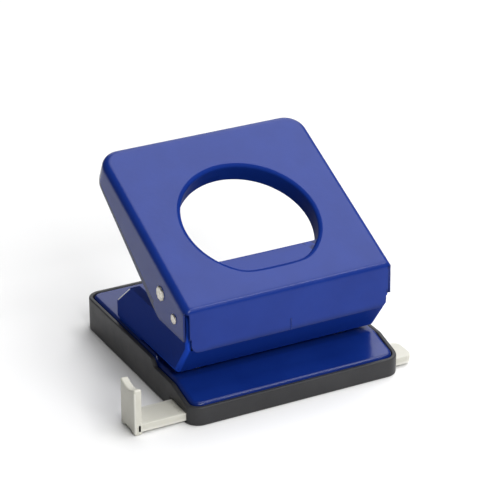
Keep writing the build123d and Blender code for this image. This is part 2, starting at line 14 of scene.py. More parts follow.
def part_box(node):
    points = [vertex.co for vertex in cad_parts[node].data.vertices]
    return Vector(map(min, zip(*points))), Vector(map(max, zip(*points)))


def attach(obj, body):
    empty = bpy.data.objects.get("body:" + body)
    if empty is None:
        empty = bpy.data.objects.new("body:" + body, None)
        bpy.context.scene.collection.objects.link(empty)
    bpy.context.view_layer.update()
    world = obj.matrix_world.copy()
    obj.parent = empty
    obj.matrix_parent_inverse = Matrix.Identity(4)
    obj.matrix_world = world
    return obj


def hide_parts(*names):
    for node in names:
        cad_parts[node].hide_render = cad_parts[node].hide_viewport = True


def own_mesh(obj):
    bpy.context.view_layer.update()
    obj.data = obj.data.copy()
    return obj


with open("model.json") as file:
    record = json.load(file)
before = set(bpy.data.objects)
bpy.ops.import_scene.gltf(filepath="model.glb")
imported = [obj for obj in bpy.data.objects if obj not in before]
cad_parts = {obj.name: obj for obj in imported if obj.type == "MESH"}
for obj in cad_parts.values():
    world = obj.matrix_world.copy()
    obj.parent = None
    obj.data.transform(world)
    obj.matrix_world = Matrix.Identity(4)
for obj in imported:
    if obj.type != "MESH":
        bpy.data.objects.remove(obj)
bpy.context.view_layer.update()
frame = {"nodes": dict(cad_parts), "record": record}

MM = 0.001


# ---- Sizes that the surfaces share with the CAD solids ---------------------------------
def edge(node, high, axis):
    """One side of a node's box, in millimetres."""
    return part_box(node)[high][axis] / MM


tray_half = edge("chip_tray", 1, 0)
tray_front = edge("chip_tray", 0, 1)
tray_rear = edge("chip_tray", 1, 1)
tray_corner = 7.6
tray_wall = 2.2
tray_floor = 1.2
rim_runs = (0.0, 5.0, 21.0, 40.5, 43.5, 123.6)
rim_heights = (10.1, 10.1, 14.4, 14.4, 18.1, 18.1)
window_front = 5.6
window_rear = 22.4
window_top = 6.2

plate_half = edge("base_plate", 1, 0)
plate_front = edge("base_plate", 0, 1)
plate_rear = edge("base_plate", 1, 1)
plate_corner = 5.1
plate_bend = 2.2
plate_skirt = 6.0
plate_sheet = 1.2
deck_runs = (2.5, 13.5, 22.0, 44.2, 45.6, 121.1)
deck_heights = (10.9, 13.3, 15.8, 15.8, 18.6, 18.6)
die_x = 40.0
die_y = -29.6
die_radius = 5.0

raise_angle = math.radians(25.0)
hinge_y = tray_front + 20.45
hinge_z = 49.8
handle_half = 57.4
handle_sheet = 1.0
handle_top = 13.25
handle_reach = 100.8
handle_bend = 4.0
handle_corner = 11.0
corner_round = 2.4
flap_y = tray_front + 8.4
flap_bottom = 35.6
flap_shoulder = 43.0
flap_corner = 4.0
flap_half = 54.0
flange_front = (-12.63, -2.83)
flange_edge = ((-12.63, -2.83), (9.0, -12.4), (11.5, -13.7), (14.0, -13.9), (18.0, -13.6),
               (88.0, -1.8), (91.5, -0.95), (95.0, 0.75), (98.2, 3.5), (100.8, 6.75))
hand_centre = 39.7
hand_wall = 34.8
hand_fold = 2.0          # width and depth of the rounded edge round the hand hole
fold_drop = 1.35
hand_depth = 10.0
shelf_front = 8.2
shelf_rear = 18.9
shelf_drop = 1.6
shelf_lip = 6.0


# ---- Mesh helpers ------------------------------------------------------------------------
def grid_faces(rows, columns, closed=False, keep=None):
    """Quads of a rows x columns grid of points numbered row by row; keep is a mask over its cells."""
    i, j = np.meshgrid(np.arange(rows - 1), np.arange(columns if closed else columns - 1), indexing="ij")
    right = (j + 1) % columns
    quads = np.stack([i * columns + j, i * columns + right,
                      (i + 1) * columns + right, (i + 1) * columns + j], axis=-1)
    if keep is not None:
        quads = quads[keep]
    return quads.reshape(-1, 4)


def patch(points, closed=False, keep=None, flip=False):
    """A (rows, columns, 3) array of points in millimetres as a (vertices, faces) pair."""
    rows, columns = points.shape[:2]
    faces = grid_faces(rows, columns, closed, keep)
    return points.reshape(-1, 3), faces[:, ::-1] if flip else faces


def piece(name, patches, body, slot, nodes, sheet=0.0, bevel=0.0, weld=0.002, shaded=(), shade=None):
    """Join patches into one mesh, weld them, give the sheet its thickness and soften its edges.

    The patches whose numbers are in shaded get the material shade instead of the slot's own.
    """
    points = np.concatenate([part[0] for part in patches])
    starts = np.cumsum([0] + [len(part[0]) for part in patches[:-1]])
    faces = np.concatenate([part[1] + start for part, start in zip(patches, starts)])
    mesh = bpy.data.meshes.new(name)
    mesh.from_pydata((points * MM).tolist(), [], faces.tolist())
    second = [np.full(len(part[1]), number in shaded) for number, part in enumerate(patches)]
    mesh.polygons.foreach_set("material_index", np.concatenate(second).astype(np.int32))
    work = bmesh.new()
    work.from_mesh(mesh)
    bmesh.ops.remove_doubles(work, verts=work.verts, dist=weld * MM)
    bmesh.ops.dissolve_degenerate(work, edges=work.edges, dist=weld * MM / 2)
    loose = [vertex for vertex in work.verts if not vertex.link_faces]
    bmesh.ops.delete(work, geom=loose, context="VERTS")
    work.to_mesh(mesh)
    work.free()
    mesh.polygons.foreach_set("use_smooth", np.ones(len(mesh.polygons), dtype=bool))
    thing = bpy.data.objects.new(name, mesh)
    bpy.context.scene.collection.objects.link(thing)
    if sheet:
        solid = thing.modifiers.new("sheet", "SOLIDIFY")
        solid.thickness = sheet * MM
        solid.offset = -1
    if bevel:
        soft = thing.modifiers.new("edges", "BEVEL")
        soft.width = bevel * MM
        soft.segments = 2
        soft.limit_method = "ANGLE"
        soft.angle_limit = math.radians(38)
        weight = thing.modifiers.new("shading", "WEIGHTED_NORMAL")
        weight.keep_sharp = True
    mesh.materials.append(finishes[slot])
    if shade:
        mesh.materials.append(shade)
    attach(thing, body)
    if nodes:
        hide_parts(*nodes)
    return thing


def outline(half, front, rear, front_round, rear_round, fx, tc, sv, tr):
    """Nested rounded rectangles, one a row: half width, front and rear edges, corner radii.

    A loop runs along the front at fractions fx of the straight part, round the right front
    corner at the quarter-turn fractions tc, up the right side at fractions sv, round the rear
    corner at fractions tr, and back along the rear and the left side as the mirror image.
    Returns the x and y of each point as (rows, stations) arrays.
    """
    half, front, rear, front_round, rear_round = [
        np.atleast_1d(np.asarray(value, float))[:, None]
        for value in (half, front, rear, front_round, rear_round)]
    rows = max(len(half), len(front), len(rear), len(front_round), len(rear_round))
    turn = np.broadcast_to(tc, (rows, np.shape(tc)[-1])) * math.pi / 2
    back = np.broadcast_to(tr, (rows, len(tr))) * math.pi / 2
    base = np.zeros((rows, 1))
    front_x = (half - front_round) + base
    side_low = front + front_round + base
    side_high = rear - rear_round + base
    right_x = [front_x + front_round * np.sin(turn), half + base + 0 * sv,
               half - rear_round + rear_round * np.cos(back)]
    right_y = [side_low - front_round * np.cos(turn), side_low + sv * (side_high - side_low),
               side_high + rear_round * np.sin(back)]
    right_x = np.concatenate(right_x, axis=1)
    right_y = np.concatenate(right_y, axis=1)
    rear_x = -fx * (half - rear_round) + base
    x = np.concatenate([fx * front_x, right_x, rear_x, -right_x[:, ::-1]], axis=1)
    y = np.concatenate([front + base + 0 * fx, right_y, rear + base + 0 * fx, right_y[:, ::-1]], axis=1)
    return x, y


def stack(*values):
    """Broadcast coordinate arrays together and stack them into points."""
    return np.stack(np.broadcast_arrays(*values), axis=-1)


def turned(profile, centre, steps, lobes):
    """Surface turned about an axis along X through centre.

    Profile rows are the distance along the axis, the radius r and the depth d of the scallops
    round it: at angle a the surface is r (1 - d (1 + cos(lobes a)) / 2) from the axis.
    """
    along = np.array([row[0] for row in profile])[:, None]
    radius = np.maximum(np.array([row[1] for row in profile]), 0.0)[:, None]
    turn = np.linspace(0, 2 * math.pi, steps, endpoint=False)[None, :]
    depth = np.array([row[2] for row in profile])[:, None]
    radius = radius * (1 - depth * (1 + np.cos(lobes * turn)) / 2)
    points = stack(along + 0 * turn, radius * np.cos(turn), radius * np.sin(turn))
    return patch(points + np.array(centre), closed=True)


# ---- Finishes ------------------------------------------------------------------------------
def finish_nodes(name, colour, roughness, metallic=0.0, ior=1.45):
    """A Principled material whose colour, gloss and surface are driven by Object coordinates."""
    material = bpy.data.materials.new(name)
    material.use_nodes = True
    nodes, links = material.node_tree.nodes, material.node_tree.links
    shader = nodes["Principled BSDF"]
    shader.inputs["Base Color"].default_value = (*colour, 1)
    shader.inputs["Roughness"].default_value = roughness
    shader.inputs["IOR"].default_value = ior
    shader.inputs["Metallic"].default_value = metallic
    place = nodes.new("ShaderNodeTexCoord")
    return material, nodes, links, shader, place


def noise(nodes, links, place, scale, detail=3.0, roughness=0.5, stretch=None):
    """Noise on Object coordinates; stretch scales each axis first, for a grain."""
    field = nodes.new("ShaderNodeTexNoise")
    field.inputs["Scale"].default_value = scale
    field.inputs["Detail"].default_value = detail
    field.inputs["Roughness"].default_value = roughness
    source = place.outputs["Object"]
    if stretch:
        mapping = nodes.new("ShaderNodeMapping")
        mapping.inputs["Scale"].default_value = stretch
        links.new(source, mapping.inputs["Vector"])
        source = mapping.outputs["Vector"]
    links.new(source, field.inputs["Vector"])
    return field.outputs["Fac"]


def ramp(nodes, links, source, low, high, start=0.3, end=0.7):
    """Colour ramp from low to high between two positions of a 0 to 1 source."""
    band = nodes.new("ShaderNodeValToRGB")
    band.color_ramp.elements[0].position = start
    band.color_ramp.elements[1].position = end
    band.color_ramp.elements[0].color = (*low, 1)
    band.color_ramp.elements[1].color = (*high, 1)
    links.new(source, band.inputs["Fac"])
    return band.outputs["Color"]


def spread(nodes, links, source, low, high):
    """Map a 0 to 1 source to the range low to high."""
    scale = nodes.new("ShaderNodeMapRange")
    scale.inputs["To Min"].default_value = low
    scale.inputs["To Max"].default_value = high
    links.new(source, scale.inputs["Value"])
    return scale.outputs["Result"]


def bump(nodes, links, shader, source, strength, distance):
    """Bump from a source; distance is in metres."""
    relief = nodes.new("ShaderNodeBump")
    relief.inputs["Strength"].default_value = strength
    relief.inputs["Distance"].default_value = distance
    links.new(source, relief.inputs["Height"])
    links.new(relief.outputs["Normal"], shader.inputs["Normal"])


def edge_wear_and_shade(nodes, links, base, edge_colour, low=0.53, high=0.62):
    """Mix from base to the edge colour where the surface curves outwards, between two values of pointiness:
    rubbed wear on the plastics, painted shade on the enamel's bends.
    """
    shape = nodes.new("ShaderNodeNewGeometry")
    mask = nodes.new("ShaderNodeMapRange")
    mask.inputs["From Min"].default_value = low
    mask.inputs["From Max"].default_value = high
    links.new(shape.outputs["Pointiness"], mask.inputs["Value"])
    mix = nodes.new("ShaderNodeMix")
    mix.data_type = "RGBA"
    links.new(mask.outputs["Result"], mix.inputs["Factor"])
    links.new(base, mix.inputs["A"])
    mix.inputs["B"].default_value = (*edge_colour, 1)
    return mix.outputs["Result"]


def make_enamel(name, gloss, ior, depth=1.0, bend_shade=0.45):
    """Stove enamel: deep blue, a slight orange-peel skin, and gloss that varies over a range.

    depth scales how strong the blue is, and the edge factor scales it again on outward bends as painted shade
    that darkens them.
    """
    material, nodes, links, shader, place = finish_nodes(name, (0.006, 0.028, 0.21), gloss[0], ior=ior)
    light, dark = [tuple(depth * part for part in colour)
                   for colour in ((0.0068, 0.0300, 0.224), (0.0052, 0.0250, 0.198))]
    painted_shade = tuple(bend_shade * part for part in dark)
    tone = ramp(nodes, links, noise(nodes, links, place, 60, 4), dark, light)
    # Painted shade: the enamel turns a darker blue on outward bends.
    links.new(edge_wear_and_shade(nodes, links, tone, painted_shade, 0.505, 0.56), shader.inputs["Base Color"])
    links.new(spread(nodes, links, noise(nodes, links, place, 90, 3), *gloss),
              shader.inputs["Roughness"])
    bump(nodes, links, shader, noise(nodes, links, place, 480, 2), 0.55, 0.00008)
    return material


def make_black_plastic():
    """Satin moulded plastic with a fine spark-eroded grain and faint handling marks."""
    material, nodes, links, shader, place = finish_nodes(
        "black_plastic_moulded", (0.027, 0.027, 0.029), 0.45, ior=1.32)
    tone = ramp(nodes, links, noise(nodes, links, place, 45, 5, 0.6),
                (0.026, 0.026, 0.028), (0.037, 0.037, 0.039))
    links.new(edge_wear_and_shade(nodes, links, tone, (0.060, 0.060, 0.064)), shader.inputs["Base Color"])
    links.new(spread(nodes, links, noise(nodes, links, place, 210, 4), 0.34, 0.50),
              shader.inputs["Roughness"])
    bump(nodes, links, shader, noise(nodes, links, place, 3200, 2), 0.25, 0.00006)
    return material


def make_grey_plastic():
    """Warm grey plastic of the paper guide, with a fine matt grain."""
    material, nodes, links, shader, place = finish_nodes("grey_plastic_moulded", (0.60, 0.585, 0.52), 0.48)
    tone = ramp(nodes, links, noise(nodes, links, place, 70, 5, 0.6),
                (0.54, 0.53, 0.465), (0.595, 0.585, 0.52))
    links.new(edge_wear_and_shade(nodes, links, tone, (0.70, 0.69, 0.63)), shader.inputs["Base Color"])
    links.new(spread(nodes, links, noise(nodes, links, place, 300, 3), 0.40, 0.56),
              shader.inputs["Roughness"])
    bump(nodes, links, shader, noise(nodes, links, place, 2600, 2), 0.2, 0.00005)
    return material


def make_metal(name, low, high, gloss, stretch, marks, relief=0.00004):
    """Metal with a directional grain: low and high are its tones, gloss its roughness range.

    stretch scales the grain along each axis, marks is how fine it is, and relief is its depth in
    metres.
    """
    material, nodes, links, shader, place = finish_nodes(name, high, gloss[0], metallic=1.0)
    grain = noise(nodes, links, place, marks, 4, 0.6, stretch)
    links.new(ramp(nodes, links, grain, low, high), shader.inputs["Base Color"])
    links.new(spread(nodes, links, grain, *gloss), shader.inputs["Roughness"])
    bump(nodes, links, shader, noise(nodes, links, place, marks * 1.7, 3, 0.6, stretch), 0.4, relief)
    return material


finishes = {
    "blue_enamel": make_enamel("blue_enamel_gloss", (0.21, 0.29), 1.30),
    "black_plastic": make_black_plastic(),
    "grey_plastic": make_grey_plastic(),
    "bare_steel": make_metal("bare_steel_ground", (0.42, 0.42, 0.43), (0.58, 0.58, 0.59), (0.22, 0.38),
                             (1.0, 1.0, 0.08), 900),
    "nickel": make_metal("nickel_plate", (0.40, 0.375, 0.325), (0.79, 0.76, 0.69), (0.20, 0.42),
                         (1.0, 1.0, 1.0), 800, 0.00017),
    "brass_bush": make_metal("brass_turned", (0.60, 0.42, 0.17), (0.80, 0.62, 0.30), (0.18, 0.32),
                             (1.0, 1.0, 14.0), 300),
    "spring_steel": make_metal("spring_wire", (0.30, 0.30, 0.32), (0.46, 0.46, 0.48), (0.22, 0.36),
                               (1.0, 1.0, 1.0), 1200),
}
node_slots = {row["node"]: row["material_slot"] for row in frame["record"]["subparts"]}
for node_name, thing in frame["nodes"].items():
    for index in range(max(1, len(thing.material_slots))):
        if thing.material_slots:
            thing.material_slots[index].material = finishes[node_slots[node_name]]
        else:
            thing.data.materials.append(finishes[node_slots[node_name]])


# Painted shade: the bracket takes a copy of the enamel with almost no reflection and a stronger blue, so its
# sides read dark navy where the gloss enamel would reflect the pale floor.
frame["nodes"]["punch_bracket"].material_slots[0].material = make_enamel(
    "blue_enamel_bracket_shade", (0.42, 0.50), 1.06, 2.1)
# Painted shade: the base plate takes a darker, glossier copy of the enamel, for the shade and dark
# reflections under the handle.
deck_shade_paint = make_enamel("blue_enamel_deck_shade", (0.16, 0.24), 1.33, 0.8)
# Painted shade for the hand hole's fold, lip bend and wall: a darker, rougher copy of the enamel with little
# reflection.
hole_shade_paint = make_enamel("blue_enamel_hole_shade", (0.45, 0.55), 1.08, 0.85, 1.0)


# ---- Handle ---------------------------------------------------------------------------------
def handle_points(x, s, n):
    """Points at x across, s up the top from the hinge and n out of it, turned by the raise angle."""
    y = hinge_y + s * math.cos(raise_angle) - n * math.sin(raise_angle)
    z = hinge_z + s * math.sin(raise_angle) + n * math.cos(raise_angle)
    return stack(x, y, z)


def handle_local(y, z):
    """The s and n of a point given by y and z."""
    dy, dz = y - hinge_y, z - hinge_z
    return (dy * math.cos(raise_angle) + dz * math.sin(raise_angle),
            -dy * math.sin(raise_angle) + dz * math.cos(raise_angle))


def hole_radius(angle, radius, reach, sharpness):
    """Distance from the hand hole's centre to a D: a circle of the radius cut by a chord.

    The chord lies at reach towards the front. With c = cos(angle) the distance is
    (radius^-p + (reach / c)^-p)^(-1/p), so a large p leaves a small round at the D's corners.
    """
    forward = np.maximum(np.cos(angle), 1e-3)
    return (radius ** -sharpness + (reach / forward) ** -sharpness) ** (-1 / sharpness)


def ease(value, low, high):
    """Smooth step from 0 at low to 1 at high."""
    t = np.clip((value - low) / (high - low), 0, 1)
    return t * t * (3 - 2 * t)


def centre_mark():
    """Pressed rib at the middle of the flap: height h cos^2 across it, fading out at its top."""
    half, height = 0.75, 0.6
    across = np.linspace(-half, half, 13)[None, :]
    up_to = np.linspace(0, 1, 14)[:, None]
    proud = height * np.cos(across / half * math.pi / 2) ** 2 * np.sqrt(np.clip(1 - up_to ** 6, 0, 1))
    return patch(stack(across, flap_y + 0.05 - proud, flap_bottom + 0.15 + 6.4 * up_to))


def make_handle():
    """Pressed handle: closed loops of stations, row by row from its lower edge up, over and in.

    The first rows are the flap, flanges and rear lip. The roll of radius b then drops b (1 - cos t)
    and grows b sin t outwards, for t from a quarter turn to 0. The flat top is drawn in from the
    roll to the hand hole. Round the hole come its fold, a quarter of an ellipse, then the shelf
    and its lip at the front and the wall elsewhere. Rows are s up the top and n out of it.
    """
    # Stations close up near the flap's ends, where its corner, its shoulder and the slit are.
    ends = np.array([1.0, 0.992, 0.984, 0.978, 0.968, 0.952, 0.934, 0.915])
    fx = np.concatenate([-ends, np.linspace(-0.9, 0.9, 73), ends[::-1]])
    tc = np.linspace(0, 1, 8)[1:-1]
    sv = np.linspace(0, 1, 72)
    tr = np.linspace(0, 1, 16)[1:-1]
    # Rows of the roll, from the wall up to the flat top.
    phi = np.linspace(math.pi / 2, 0, 10)
    drop = handle_bend * (1 - np.cos(phi))
    grow = handle_bend * np.sin(phi)
    tangent = handle_bend * math.tan((math.pi / 2 - raise_angle) / 2)
    top_front = (flap_y - hinge_y + handle_top * math.sin(raise_angle)) / math.cos(raise_angle)
    # The front turns through less than a quarter turn, and is flat below that.
    limit = handle_bend * (1 - math.sin(raise_angle))
    arc = top_front + tangent - np.sqrt(np.maximum(handle_bend ** 2 - (handle_bend - drop) ** 2, 0))
    plane = top_front - drop * math.tan(raise_angle)
    front = np.where(drop <= limit, arc, plane)
    flat = handle_half - handle_bend
    top_corner = 0.6         # radius of the front corners at the top of the roll
    x, s = outline(flat + grow, front, handle_reach - handle_bend + grow,
                   top_corner + (corner_round - top_corner) * phi / (math.pi / 2),
                   handle_corner - handle_bend + grow, fx, tc, sv, tr)
    n = (handle_top - drop)[:, None] + 0 * x
    # Lower edge: flap, corner, flange, rear corner, lip, and the mirror image.
    count_f, count_c, count_s, count_r = len(fx), len(tc), len(sv), len(tr)
    wall_x, wall_s = x[0], s[0]
    low_s, low_n = wall_s.copy(), n[0].copy()
    low_x = wall_x.copy()
    side = np.arange(count_f, count_f + 2 * (count_c + count_s + count_r) + count_f)
    edge_s, edge_n = np.array(flange_edge).T
    start = wall_s[count_f + count_c]
    lead_length = 70.0       # of the flange over which its lower edge eases back to the wall
    lead = (flange_front[0] - start) * np.clip(1 - (wall_s - start) / lead_length, 0, 1) ** 3
    low_s[side] = wall_s[side] + lead[side]
    low_n[side] = np.interp(low_s[side], edge_s, edge_n)
    at = np.abs(fx)
    bottom_x = np.interp(at, [0, 0.9, 0.978, 0.984, 1.0],
                         [0, flap_half - flap_corner, flap_half, flap_half, wall_x[count_f - 1]])
    slit_step = 0.6          # from the flap's side to the shoulder's first station
    bottom_x[np.isclose(at, 0.992)] = flap_half + slit_step
    inside = np.clip(bottom_x - (flap_half - flap_corner), 0, flap_corner)
    bottom_z = flap_bottom + flap_corner - np.sqrt(flap_corner ** 2 - inside ** 2)
    bottom_z = np.where(at > 0.979, flap_shoulder, bottom_z)
    flap = np.arange(count_f)
    low_x[flap] = np.sign(fx) * bottom_x
    low_s[flap], low_n[flap] = handle_local(flap_y, bottom_z)
    t = np.linspace(0, 1, 11)[:-1, None]
    skirt = [low + (wall - low) * t for low, wall in ((low_x, wall_x), (low_s, wall_s), (low_n, n[0]))]
    # Flat top, drawn in towards the hand hole, then the fold, the shelf and its lip.
    top_x, top_s = x[-1], s[-1]
    angle = np.arctan2(top_x, hand_centre - top_s)
    fold_sharp, wall_sharp, lip_sharp = 26, 30, 70
    fold = hole_radius(angle, hand_wall + hand_fold, hand_centre - shelf_front + hand_fold,
                       fold_sharp)
    wall = hole_radius(angle, hand_wall, hand_centre - shelf_front, wall_sharp)
    opening = hole_radius(angle, hand_wall, hand_centre - shelf_rear, lip_sharp)
    opening = np.minimum(opening, wall)
    shelf = wall - opening
    shelf_least = 1.2        # a narrower shelf is part of the wall
    spare = 1 - np.clip(shelf / shelf_least, 0, 1)
    lip_bend = np.minimum(0.8, 0.42 * shelf)
    reach = np.hypot(top_x, top_s - hand_centre)
    level = handle_top + 0 * reach
    foot = handle_top - shelf_drop - shelf_lip
    shelf_end, wall_start = 0.80, 1.05       # angles between which the lip deepens to the wall
    foot = foot + (handle_top - hand_depth - foot) * ease(np.abs(angle), shelf_end, wall_start)
    ledge = handle_top - shelf_drop
    radii, heights = [], []
    for step in (0.12, 0.3, 0.5, 0.7, 0.85, 0.95):
        radii.append(reach + (fold - reach) * step)
        heights.append(level)
    for turn in np.linspace(0, math.pi / 2, 7):
        radii.append(fold - (fold - wall) * math.sin(turn))
        heights.append(level - fold_drop * (1 - math.cos(turn)))
    radii += [wall - np.minimum(0.25, 0.2 * shelf), wall - 0.45 * shelf, opening + lip_bend]
    heights += [ledge - 0.10 * spare, ledge - 0.25 * spare, ledge - 0.40 * spare]
    for turn in np.linspace(0, math.pi / 2, 5)[1:]:
        radii.append(opening + lip_bend * (1 - math.sin(turn)))
        heights.append(ledge - 0.40 * spare - (lip_bend + 0.3 * spare) * (1 - math.cos(turn))
                       - 0.1 * spare * turn)
    last = heights[-1]
    for step in (0.35, 0.7, 1.0):
        radii.append(opening)
        heights.append(last + (foot - last) * step)
    radii, heights = np.array(radii), np.array(heights)
    inner = (radii * np.sin(angle), hand_centre - radii * np.cos(angle), heights)
    rows = [np.concatenate(parts) for parts in zip(skirt, (x, s, n), inner)]
    points = handle_points(*rows)
    # Slits at the flap's sides: no metal at the front corners below the top of the roll.
    keep = np.ones((points.shape[0] - 1, points.shape[1]), dtype=bool)
    total = points.shape[1]
    slit_top = len(t) + 3    # the slits run three rows up into the roll
    keep[:slit_top, count_f - 1:count_f + count_c] = False
    keep[:slit_top, total - count_c - 1:] = False
    # The fold, the lip's bend and the wall take a darker, rougher copy of the enamel with little reflection,
    # painted shade in the hand hole; the shelf itself does not.
    fold_row = len(t) + len(phi) + 6
    painted_shade = np.zeros(keep.shape, dtype=bool)
    painted_shade[fold_row:] = True
    painted_shade[fold_row + 6:fold_row + 9, shelf > shelf_least] = False
    parts = [patch(points, closed=True, keep=keep & ~painted_shade), patch(points, closed=True, keep=keep & painted_shade),
             centre_mark()]
    piece("handle_skin", parts, "handle", "blue_enamel", ["handle"], sheet=handle_sheet, bevel=0.14,
          shaded=(1,), shade=hole_shade_paint)


make_handle()


# ---- Base plate --------------------------------------------------------------------------------
def deck_height(y):
    """Height of the deck at y: straight runs with each change of slope rounded over 1.4 mm."""
    runs, heights = np.array(deck_runs) + tray_front, np.array(deck_heights)
    total = 0
    for shift in np.linspace(-0.7, 0.7, 7):
        total = total + np.interp(y + shift, runs, heights)
    return total / 7


def make_base_plate():
    """Deck as rows across the plate, ring by ring round the two die holes, with a rolled edge and skirt.

    A row at y spans the half width of a rectangle with rounded corners, half - r + sqrt(r^2 - d^2)
    where d is how far y is past the corner's centre. The roll adds b sin(t) outwards and drops
    b (1 - cos(t)) for t from 0 to a quarter turn, and the skirt runs down from it.
    """
    b = plate_bend
    front, rear = plate_front + b, plate_rear - b
    radius = plate_corner - b
    bow = radius * (1 - np.cos(np.linspace(0, math.pi / 2, 8)))
    square = 6.4         # half the side of the square of deck round a die hole
    behind_jog = tray_front + 47.0
    stops = (front + radius, die_y - square, die_y + square, behind_jog, rear - radius)
    runs = [np.linspace(start, end, count)[1:]
            for start, end, count in zip(stops, stops[1:], (26, 13, 22, 30))]
    y = np.concatenate([front + bow, *runs, (rear - bow[::-1])[1:]])
    past_corner = np.maximum(np.maximum(front + radius - y, y - rear + radius), 0)
    wide = plate_half - b - radius + np.sqrt(np.maximum(radius ** 2 - past_corner ** 2, 0))
    # Columns hold still across the die squares and share out the rest of the width.
    inner = np.linspace(-die_x + square, die_x - square, 34)
    squares = np.linspace(die_x - square, die_x + square, 13)
    rim_share = np.linspace(0, 1, 6)[1:]
    right = np.concatenate([squares[1:, None] + 0 * y,
                            squares[-1] + rim_share[:, None] * (wide - squares[-1])])
    x = np.concatenate([-right[::-1], inner[:, None] + 0 * y, right]).T
    rows, columns = x.shape
    field = stack(x, y[:, None], deck_height(y)[:, None])
    keep = np.ones((rows - 1, columns - 1), dtype=bool)
    low_row = int(np.argmin(np.abs(y - die_y + square)))
    parts = []
    for side in (-1, 1):
        low_column = int(np.argmin(np.abs(x[low_row] - side * die_x + square)))
        keep[low_row:low_row + 12, low_column:low_column + 12] = False
        block = field[low_row:low_row + 13, low_column:low_column + 13]
        loop = np.concatenate([block[0, :-1], block[:-1, -1], block[-1, :0:-1], block[:0:-1, 0]])
        centre = np.array([side * die_x, die_y, 0])
        away = loop - centre
        turn = np.arctan2(away[:, 1], away[:, 0])
        circle = stack(die_radius * np.cos(turn), die_radius * np.sin(turn), loop[:, 2]) + centre * (1, 1, 0)
        share = np.linspace(0, 1, 5)[:, None, None]
        parts.append(patch(loop + (circle - loop) * share, closed=True))
    parts.append(patch(field, keep=keep))
    # Rolled edge and skirt along the field's border.
    border = np.concatenate([field[0, :-1], field[:-1, -1], field[-1, :0:-1], field[:0:-1, 0]])
    pivot = np.clip(border[:, :2], [-plate_half + b + radius, front + radius],
                    [plate_half - b - radius, rear - radius])
    out = border[:, :2] - pivot
    out = out / np.linalg.norm(out, axis=1)[:, None]
    out = np.concatenate([out, np.zeros((len(out), 1))], axis=1)
    rings = []
    for turn in np.linspace(0, math.pi / 2, 8)[::-1]:
        rings.append(border + out * b * math.sin(turn) - np.array([0, 0, b * (1 - math.cos(turn))]))
    foot = rings[0].copy()
    foot[:, 2] = plate_skirt
    skirt = [foot + (rings[0] - foot) * share for share in (0, 0.25, 0.5, 0.75)]
    parts.append(patch(np.array(skirt + rings), closed=True))
    # The whole plate takes the deck's darker copy of the enamel: painted shade.
    piece("base_plate_skin", parts, "base", "blue_enamel", ["base_plate"], sheet=plate_sheet, bevel=0.12,
          shaded=range(len(parts)), shade=deck_shade_paint)


make_base_plate()


